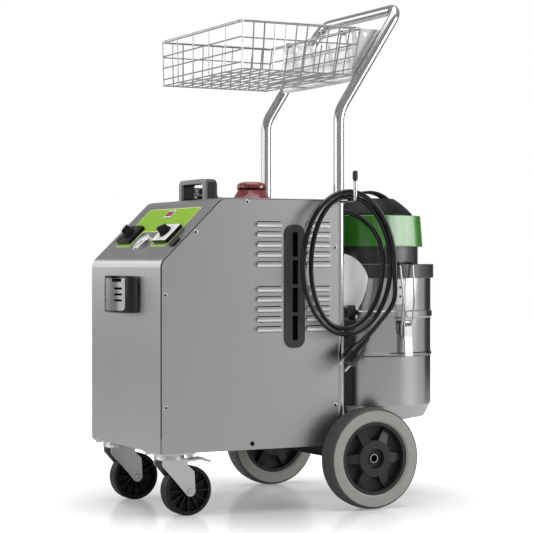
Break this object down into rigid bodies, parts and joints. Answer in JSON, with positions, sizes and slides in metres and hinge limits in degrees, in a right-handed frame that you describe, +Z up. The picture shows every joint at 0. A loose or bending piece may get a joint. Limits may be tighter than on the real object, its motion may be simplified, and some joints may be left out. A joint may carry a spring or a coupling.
{
  "type": "industrial steam cleaner",
  "caption": "Wheeled steam cleaner of bent stainless sheet with a sloped control panel, a wire basket on a push handle, a coiled mains cable and a clamped wet vacuum drum behind.",
  "frame": {"origin": "centre of the bounding box of everything but the cable, on the floor", "axes": "+Z up, -Y the front with the control panel, +X the right side as seen from the front, where the cable hangs"},
  "size_m": [0.494, 0.758, 1.054],
  "materials": {
    "steel_sheet": "fine satin",
    "polished_steel": "polished",
    "chrome_tube": "polished",
    "chrome_wire": "bright plated",
    "zinc_steel": "zinc plated",
    "motor_metal": "cast",
    "brass_fitting": "turned",
    "black_plastic": "satin",
    "grey_plastic": "satin",
    "green_plastic": "gloss",
    "red_plastic": "satin",
    "white_plastic": "natural",
    "black_rubber": "smooth",
    "grey_tyre": "matt",
    "clear_glass": "clear"
  },
  "bodies": {
    "machine": {"chassis_base": "steel_sheet", "front_panel": "steel_sheet", "side_panel_right": "steel_sheet", "side_panel_left": "steel_sheet", "rear_panel": "steel_sheet", "vent_strips": "black_plastic", "control_plate": "green_plastic", "switch_boxes": "black_plastic", "gauge_case": "chrome_wire", "gauge_glass": "clear_glass", "indicator_lamp": "red_plastic", "socket_housing": "black_plastic", "steam_coupling": "brass_fitting", "top_handle": "black_plastic", "filler_neck": "red_plastic", "frame_posts": "chrome_tube", "push_handle": "chrome_tube", "basket_bracket": "steel_sheet", "basket_rim": "chrome_wire", "basket_nets": "chrome_wire", "cable_hook": "chrome_wire", "cable_gland": "black_plastic", "mains_cable_lead": "black_rubber", "mains_cable_coil": "black_rubber", "mains_plug": "black_plastic", "rear_axle": "zinc_steel", "castor_plates": "zinc_steel", "rear_frame": "zinc_steel", "drum_cradle": "steel_sheet", "vac_drum": "polished_steel", "vac_inlet": "black_plastic", "vac_ring": "black_plastic", "vac_neck": "black_plastic", "vac_band": "green_plastic", "vac_dome": "black_plastic", "vac_motor": "motor_metal", "clamp_bases": "zinc_steel", "boiler": "steel_sheet", "water_tank": "white_plastic"},
    "selector": {"selector_knob": "black_plastic"},
    "heat": {"heat_knob": "black_plastic"},
    "needle": {"gauge_needle": "black_plastic"},
    "button": {"push_button": "black_plastic"},
    "flap": {"socket_flap": "grey_plastic"},
    "cap": {"filler_cap": "red_plastic"},
    "star_knob": {"cradle_knob": "black_plastic"},
    "rear_wheel_left": {"rear_hub_left": "black_plastic", "rear_tyre_left": "grey_tyre"},
    "rear_wheel_right": {"rear_hub_right": "black_plastic", "rear_tyre_right": "grey_tyre"},
    "fork_left": {"castor_fork_left": "zinc_steel"},
    "fork_right": {"castor_fork_right": "zinc_steel"},
    "front_wheel_left": {"castor_wheel_left": "black_plastic"},
    "front_wheel_right": {"castor_wheel_right": "black_plastic"},
    "brake_left": {"castor_brake_left": "black_plastic"},
    "brake_right": {"castor_brake_right": "black_plastic"},
    "lever_right": {"clamp_lever_right": "zinc_steel"},
    "lever_left": {"clamp_lever_left": "zinc_steel"},
    "bail_right": {"clamp_bail_right": "zinc_steel"},
    "bail_left": {"clamp_bail_left": "zinc_steel"}
  },
  "joints": [
    {"name": "selector_turn", "type": "hinge", "parent": "machine", "child": "selector", "pos_m": [-0.095, -0.2973, 0.5703], "axis": [0, -0.6963, 0.7177], "range_deg": [-60, 60]},
    {"name": "heat_turn", "type": "hinge", "parent": "machine", "child": "heat", "pos_m": [0.095, -0.2973, 0.5703], "axis": [0, -0.6963, 0.7177], "range_deg": [-135, 135]},
    {"name": "needle_turn", "type": "hinge", "parent": "machine", "child": "needle", "pos_m": [0, -0.30309, 0.54469], "axis": [0, -0.6963, 0.7177], "range_deg": [-270, 0], "stiffness_Nm_per_rad": 0.0005},
    {"name": "button_press", "type": "slide", "parent": "machine", "child": "button", "axis": [0, 0.6963, -0.7177], "range_m": [0, 0.0015], "stiffness_N_per_m": 400, "springref_m": -0.0005},
    {"name": "flap_turn", "type": "hinge", "parent": "machine", "child": "flap", "pos_m": [0, -0.356, 0.466], "axis": [1, 0, 0], "range_deg": [-90, 0], "stiffness_Nm_per_rad": 0.05, "springref_deg": 11.46},
    {"name": "cap_turn", "type": "hinge", "parent": "machine", "child": "cap", "pos_m": [0, -0.052, 0.66], "axis": [0, 0, 1], "range_deg": [0, 90]},
    {"name": "star_knob_turn", "type": "hinge", "parent": "machine", "child": "star_knob", "pos_m": [0.15, 0.099, 0.401], "axis": [1, 0, 0], "continuous": true},
    {"name": "rear_left_roll", "type": "hinge", "parent": "machine", "child": "rear_wheel_left", "pos_m": [-0.223, 0.108, 0.104], "axis": [1, 0, 0], "continuous": true},
    {"name": "rear_right_roll", "type": "hinge", "parent": "machine", "child": "rear_wheel_right", "pos_m": [0.223, 0.108, 0.104], "axis": [1, 0, 0], "continuous": true},
    {"name": "fork_left_swivel", "type": "hinge", "parent": "machine", "child": "fork_left", "pos_m": [-0.134, -0.304, 0.12], "axis": [0, 0, 1], "continuous": true},
    {"name": "fork_right_swivel", "type": "hinge", "parent": "machine", "child": "fork_right", "pos_m": [0.134, -0.304, 0.12], "axis": [0, 0, 1], "continuous": true},
    {"name": "front_left_roll", "type": "hinge", "parent": "fork_left", "child": "front_wheel_left", "pos_m": [-0.134, -0.267, 0.05], "axis": [1, 0, 0], "continuous": true},
    {"name": "front_right_roll", "type": "hinge", "parent": "fork_right", "child": "front_wheel_right", "pos_m": [0.134, -0.267, 0.05], "axis": [1, 0, 0], "continuous": true},
    {"name": "brake_left_press", "type": "hinge", "parent": "fork_left", "child": "brake_left", "pos_m": [-0.134, -0.278, 0.1062], "axis": [1, 0, 0], "range_deg": [-10, 0]},
    {"name": "brake_right_press", "type": "hinge", "parent": "fork_right", "child": "brake_right", "pos_m": [0.134, -0.278, 0.1062], "axis": [1, 0, 0], "range_deg": [-10, 0]},
    {"name": "lever_right_turn", "type": "hinge", "parent": "machine", "child": "lever_right", "pos_m": [0.1458, 0.24364, 0.378], "axis": [0.0523, -0.9986, 0], "range_deg": [0, 150]},
    {"name": "lever_left_turn", "type": "hinge", "parent": "machine", "child": "lever_left", "pos_m": [-0.1458, 0.22836, 0.378], "axis": [-0.0523, 0.9986, 0], "range_deg": [0, 150]},
    {"name": "bail_right_turn", "type": "hinge", "parent": "lever_right", "child": "bail_right", "pos_m": [0.1458, 0.24364, 0.352], "axis": [0.0523, -0.9986, 0], "range_deg": [-150, 0]},
    {"name": "bail_left_turn", "type": "hinge", "parent": "lever_left", "child": "bail_left", "pos_m": [-0.1458, 0.22836, 0.352], "axis": [-0.0523, 0.9986, 0], "range_deg": [-150, 0]}
  ],
  "couplings": [
    {"joint": "bail_right_turn", "follows": "lever_right_turn", "ratio": -1},
    {"joint": "bail_left_turn", "follows": "lever_left_turn", "ratio": -1}
  ]
}
